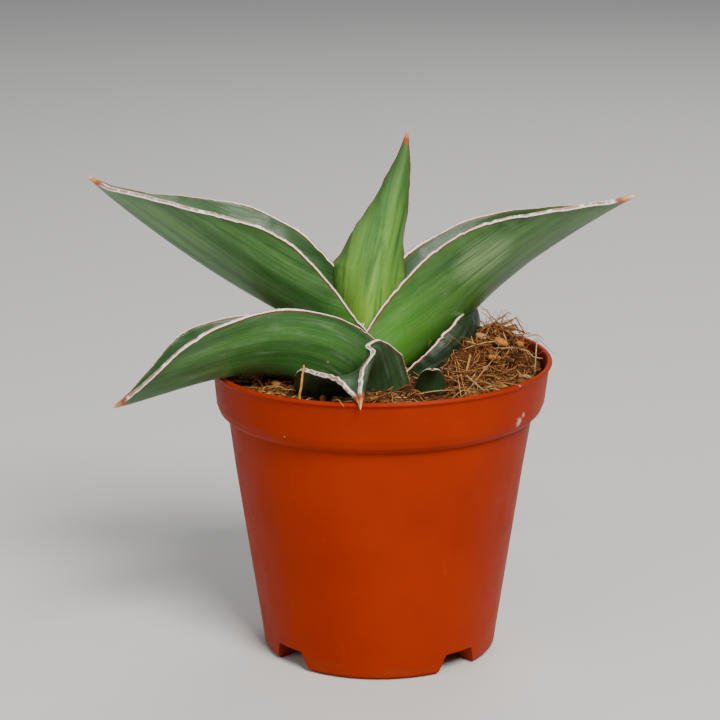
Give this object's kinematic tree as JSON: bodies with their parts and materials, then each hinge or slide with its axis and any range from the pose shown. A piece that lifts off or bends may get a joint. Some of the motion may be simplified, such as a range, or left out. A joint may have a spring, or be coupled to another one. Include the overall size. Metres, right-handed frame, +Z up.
{
  "type": "potted snake plant",
  "caption": "Young snake plant with stiff channelled pointed leaves, rooted in coconut coir in a small round red-brown plastic nursery pot with a banded rim.",
  "frame": {"origin": "middle of the object's box in plan, on the surface that the pot's feet stand on", "axes": "+Z up, -Y is the front with the small folded leaf over the rim, +X is to the right seen from the front"},
  "size_m": [0.1435, 0.0926, 0.1393],
  "materials": {
    "pot": "satin moulded red-brown plastic, lightly scuffed",
    "coir": "rough loose coconut fibre and dust",
    "crown": "matt pale stem tissue",
    "leaf": "satin waxy dark green with lengthways stripes and a pale edge",
    "leaf_young": "satin waxy yellow-green with darker stripes",
    "husk": "rough orange-brown husk",
    "straw": "dry tan fibre"
  },
  "bodies": {
    "root": {"pot": "pot", "coir_mix": "coir", "crown": "crown", "leaf_centre": "leaf_young", "leaf_right": "leaf", "leaf_upper_left": "leaf", "leaf_lower_left": "leaf", "leaf_back_right": "leaf", "leaf_front": "leaf", "leaf_small": "leaf", "husk_chip_1": "husk", "husk_chip_2": "husk", "husk_chip_3": "husk", "husk_chip_4": "husk", "husk_chip_5": "husk", "husk_chip_6": "husk", "husk_chip_7": "husk", "straw_1": "straw", "straw_2": "straw", "straw_3": "straw", "straw_4": "straw", "straw_5": "straw"}
  },
  "joints": []
}
